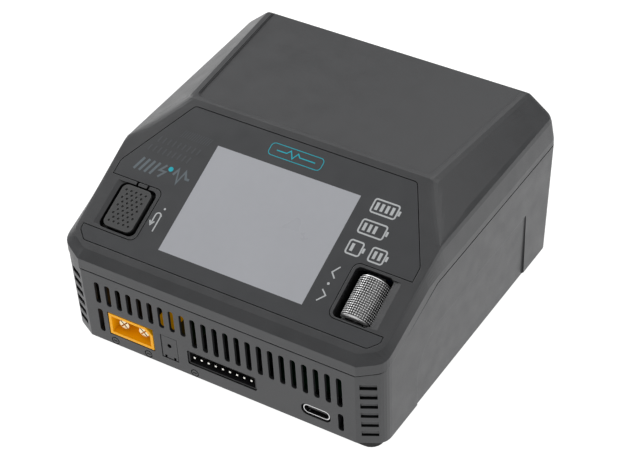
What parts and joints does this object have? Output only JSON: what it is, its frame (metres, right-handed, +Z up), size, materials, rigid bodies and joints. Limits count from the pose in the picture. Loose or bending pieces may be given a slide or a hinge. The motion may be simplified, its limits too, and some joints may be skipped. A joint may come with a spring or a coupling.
{
  "type": "balance battery charger",
  "caption": "Desk-top battery charger with a sloping deck: display, press key, knurled roller, slotted walls, ports front and rear, and a fan.",
  "frame": {"origin": "on the table under the middle of the case's footprint", "axes": "+X to the right as seen from the front, +Y to the back, +Z up"},
  "size_m": [0.1108, 0.1064, 0.0589],
  "materials": {
    "case_plastic": "fine matte moulded texture",
    "fascia_plastic": "smooth satin sheet",
    "window_film": "grey protective window",
    "display_glass": "bare display glass, not lit",
    "sheet_steel": "pressed sheet",
    "circuit_board": "green solder mask",
    "mains_laminate": "bare tan laminate",
    "key_plastic": "matte moulded, dimpled face",
    "switch_plastic": "matte moulded",
    "plunger_plastic": "pale moulded",
    "roller_metal": "knurled and bright",
    "shaft_steel": "ground",
    "connector_nylon": "orange moulded",
    "gilt_contact": "plated, bright",
    "header_plastic": "black moulded",
    "tinned_pin": "tinned",
    "port_steel": "plated sheet",
    "ferrite": "sintered, dull",
    "coil_tape": "wound and taped",
    "capacitor_sleeve": "sleeved can",
    "blue_sleeve": "sleeved can",
    "copper_wire": "enamelled winding",
    "fuse_glass": "clear tube with end caps",
    "fin_aluminium": "extruded",
    "fan_plastic": "matte moulded",
    "encoder_plastic": "moulded",
    "black_screw": "blackened",
    "bright_screw": "zinc plated",
    "foot_rubber": "soft, matte"
  },
  "bodies": {
    "base": {"lower_case": "case_plastic", "upper_case": "case_plastic", "display_fascia": "fascia_plastic", "screen_window": "window_film", "display_panel": "display_glass", "display_frame": "sheet_steel", "control_board": "circuit_board", "exit_switch": "switch_plastic", "roller_frame": "switch_plastic", "roller_switch": "switch_plastic", "main_board": "circuit_board", "output_socket": "connector_nylon", "output_contacts": "gilt_contact", "balance_header": "header_plastic", "balance_pins": "tinned_pin", "usb_shell": "port_steel", "usb_tongue": "header_plastic", "port_cover": "fascia_plastic", "input_socket": "connector_nylon", "input_contacts": "gilt_contact", "ac_inlet": "header_plastic", "ac_pins": "tinned_pin", "mains_board": "mains_laminate", "mains_transformer": "coil_tape", "mains_capacitor": "capacitor_sleeve", "mains_choke": "copper_wire", "mains_fuse": "fuse_glass", "heat_sink": "fin_aluminium", "power_inductors": "ferrite", "filter_capacitors": "blue_sleeve", "beeper": "header_plastic", "fan_frame": "fan_plastic", "fan_screws": "black_screw", "case_screws": "black_screw", "board_screws": "bright_screw", "control_screws": "bright_screw", "rubber_feet": "foot_rubber"},
    "exit_key": {"exit_button": "key_plastic"},
    "exit_plunger_body": {"exit_plunger": "plunger_plastic"},
    "roller_slide": {"roller_carrier": "switch_plastic", "roller_encoder": "encoder_plastic"},
    "roller_wheel": {"roller": "roller_metal", "roller_shaft": "shaft_steel"},
    "roller_plunger_body": {"roller_plunger": "plunger_plastic"},
    "fan": {"fan_rotor": "fan_plastic"}
  },
  "joints": [
    {"name": "exit_press", "type": "hinge", "parent": "base", "child": "exit_key", "pos_m": [-0.0406, -0.0255, 0.04287], "axis": [1, 0, 0], "range_deg": [0, 2.5], "stiffness_Nm_per_rad": 0.3, "springref_deg": -1.72},
    {"name": "exit_plunger_slide", "type": "slide", "parent": "base", "child": "exit_plunger_body", "axis": [0, 0.4147, -0.91], "range_m": [0, 0.00043]},
    {"name": "roller_press", "type": "slide", "parent": "base", "child": "roller_slide", "axis": [0, 0.4147, -0.91], "range_m": [0, 0.0005], "stiffness_N_per_m": 3000, "springref_m": -0.0003},
    {"name": "roller_plunger_slide", "type": "slide", "parent": "base", "child": "roller_plunger_body", "axis": [0, 0.4147, -0.91], "range_m": [0, 0.0005]},
    {"name": "roller_spin", "type": "hinge", "parent": "roller_slide", "child": "roller_wheel", "pos_m": [0.0403, -0.03425, 0.03844], "axis": [0, 0.91, 0.4147], "continuous": true},
    {"name": "fan_spin", "type": "hinge", "parent": "base", "child": "fan", "pos_m": [0, 0.0422, 0.0226], "axis": [0, 1, 0], "continuous": true}
  ],
  "couplings": [
    {"joint": "exit_plunger_slide", "follows": "exit_press", "m_per_rad": 0.0098},
    {"joint": "roller_plunger_slide", "follows": "roller_press", "ratio": 1}
  ]
}
